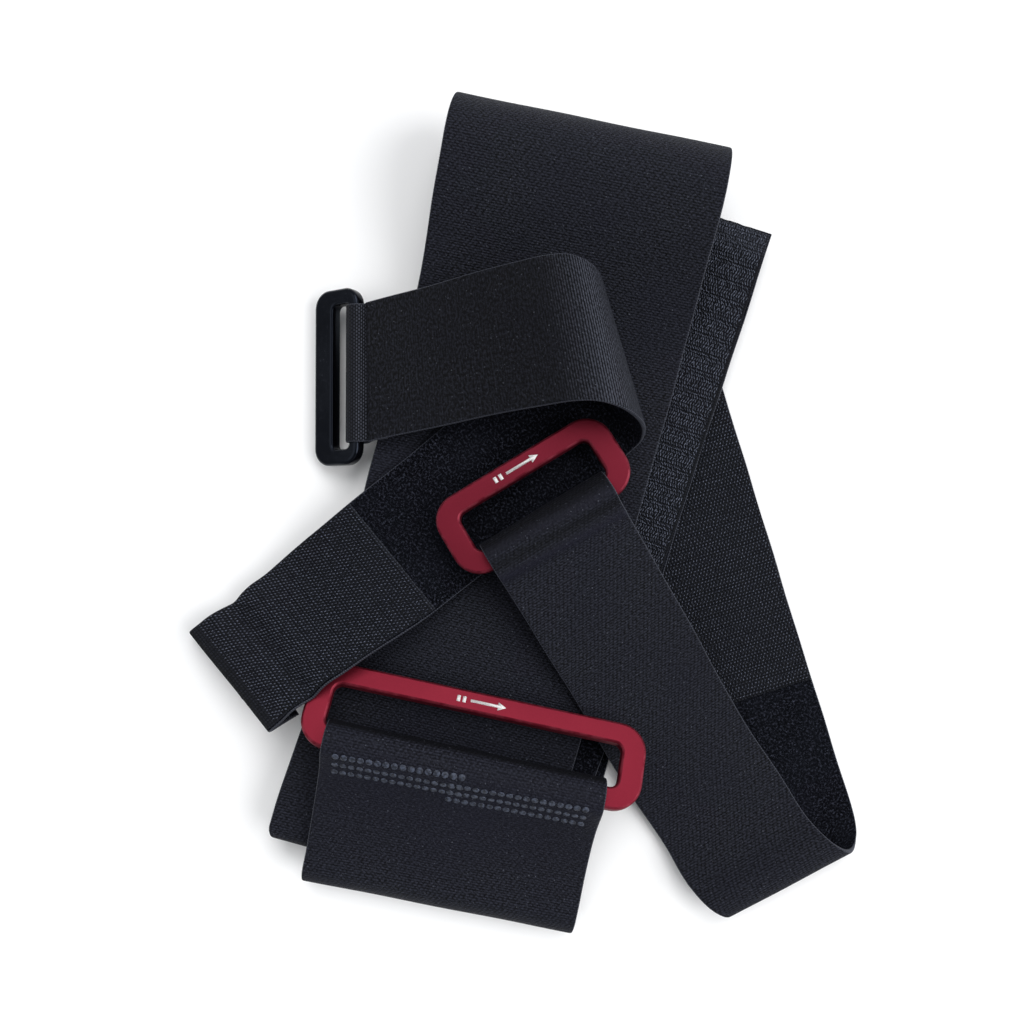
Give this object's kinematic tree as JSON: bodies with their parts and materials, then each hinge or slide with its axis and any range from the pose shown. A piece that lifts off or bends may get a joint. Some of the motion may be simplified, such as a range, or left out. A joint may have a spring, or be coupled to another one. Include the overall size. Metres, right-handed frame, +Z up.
{
  "type": "arm sling",
  "caption": "Folded arm sling of wide and narrow hook-and-loop straps with slotted metal rings and a plastic buckle ring.",
  "frame": {"origin": "on the table, under the middle of the bounding box of the folded pile", "axes": "+Z up from the table, +Y from the low folds towards the tall top fold of the wide strap, +X from the buckle ring towards the open fold of the arm strap"},
  "size_m": [0.2499, 0.3056, 0.0439],
  "materials": {
    "webbing": "fine woven face",
    "plush": "brushed loop pile",
    "hook_tape": "stiff rows of hooks",
    "red_metal": "satin red anodised",
    "black_plastic": "glossy"
  },
  "bodies": {
    "pile": {"table_strap": "webbing", "table_hook_tape": "hook_tape", "arm_strap": "webbing", "arm_hook_tape": "hook_tape", "cinch_base": "plush", "cinch_fold": "webbing"},
    "table_link": {"table_ring": "red_metal"},
    "arm_link": {"arm_ring": "red_metal"},
    "flap": {"cinch_flap": "webbing", "buckle_tab": "hook_tape"},
    "buckle": {"buckle_ring": "black_plastic"},
    "tail": {"cinch_tail": "webbing", "cinch_hook_tape": "hook_tape"}
  },
  "joints": [
    {"name": "table_ring_pivot", "type": "hinge", "parent": "pile", "child": "table_link", "pos_m": [-0.02103, -0.0887, 0.0253], "axis": [0.9778, -0.2096, 0], "range_deg": [0, 110]},
    {"name": "arm_ring_pivot", "type": "hinge", "parent": "pile", "child": "arm_link", "pos_m": [0.00907, -0.003, 0.025], "axis": [0.8554, 0.518, 0], "range_deg": [0, 110]},
    {"name": "cinch_flap_fold", "type": "hinge", "parent": "pile", "child": "flap", "pos_m": [0.02397, 0.0543, 0.0296], "axis": [-0.2588, 0.9659, 0], "range_deg": [0, 75], "deforming": ["cinch_fold"]},
    {"name": "buckle_pivot", "type": "hinge", "parent": "flap", "child": "buckle", "pos_m": [-0.06133, 0.052, 0.0123], "axis": [0, 1, 0], "range_deg": [0, 120]},
    {"name": "cinch_tail_lift", "type": "hinge", "parent": "pile", "child": "tail", "pos_m": [-0.04603, -0.0136, 0.0146], "axis": [-0.6361, 0.7716, 0], "range_deg": [0, 55]}
  ],
  "couplings": [
    {"joint": "cinch_tail_lift", "follows": "table_ring_pivot", "ratio": 0.5}
  ]
}
